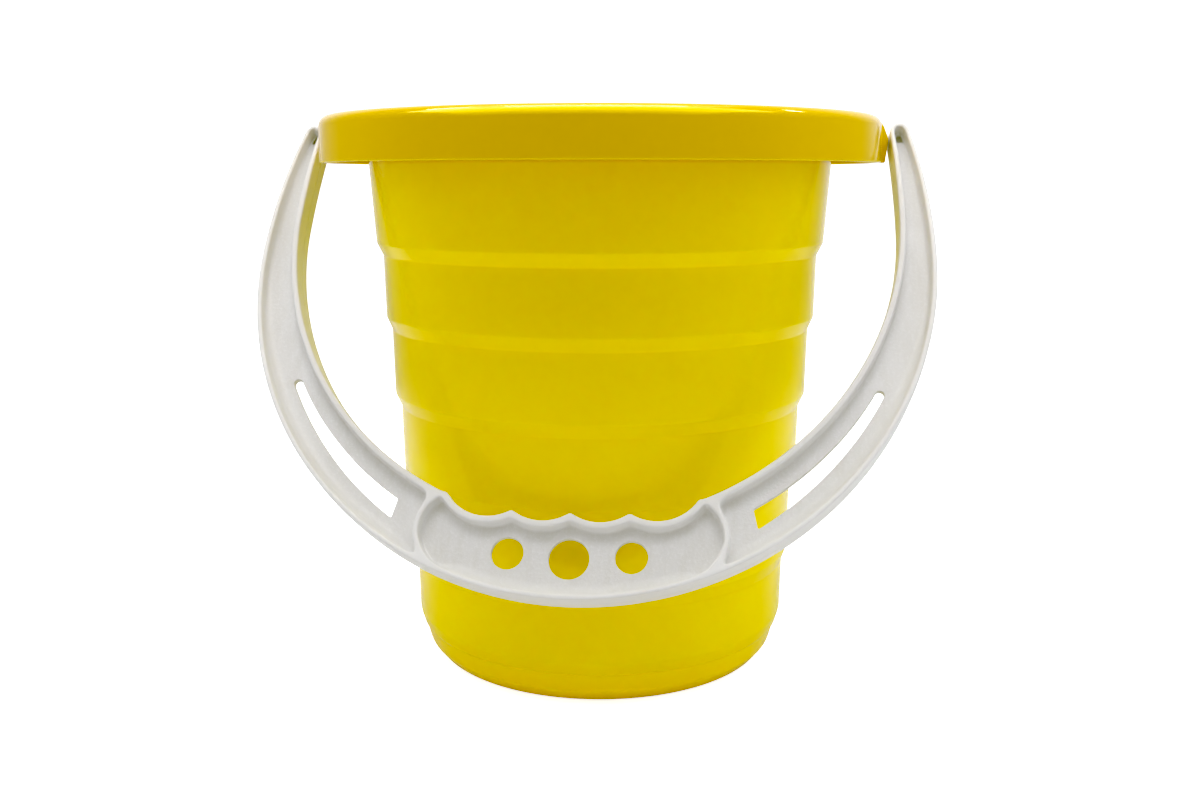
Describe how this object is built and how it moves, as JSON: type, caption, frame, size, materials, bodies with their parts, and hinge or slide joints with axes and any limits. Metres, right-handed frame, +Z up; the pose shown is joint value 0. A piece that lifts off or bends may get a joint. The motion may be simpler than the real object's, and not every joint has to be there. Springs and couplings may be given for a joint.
{
  "type": "sand bucket",
  "caption": "Stepped plastic sand pail with a wide hanging-skirt rim and a crescent bail handle with a scalloped grip that swings on two moulded pins.",
  "frame": {"origin": "centre of the pail's flat base", "axes": "+Z up along the pail's axis; the handle's hinge line runs along X; at rest the handle leans on the pail's front, towards -Y"},
  "size_m": [0.2562, 0.22, 0.214],
  "materials": {
    "yellow_plastic": "glossy moulded polypropylene",
    "white_plastic": "satin moulded polypropylene"
  },
  "bodies": {
    "pail": {"bucket_body": "yellow_plastic"},
    "bail": {"handle": "white_plastic"}
  },
  "joints": [
    {"name": "handle_swing", "type": "hinge", "parent": "pail", "child": "bail", "pos_m": [0, 0, 0.205], "axis": [-1, 0, 0], "range_deg": [0, 294]}
  ]
}
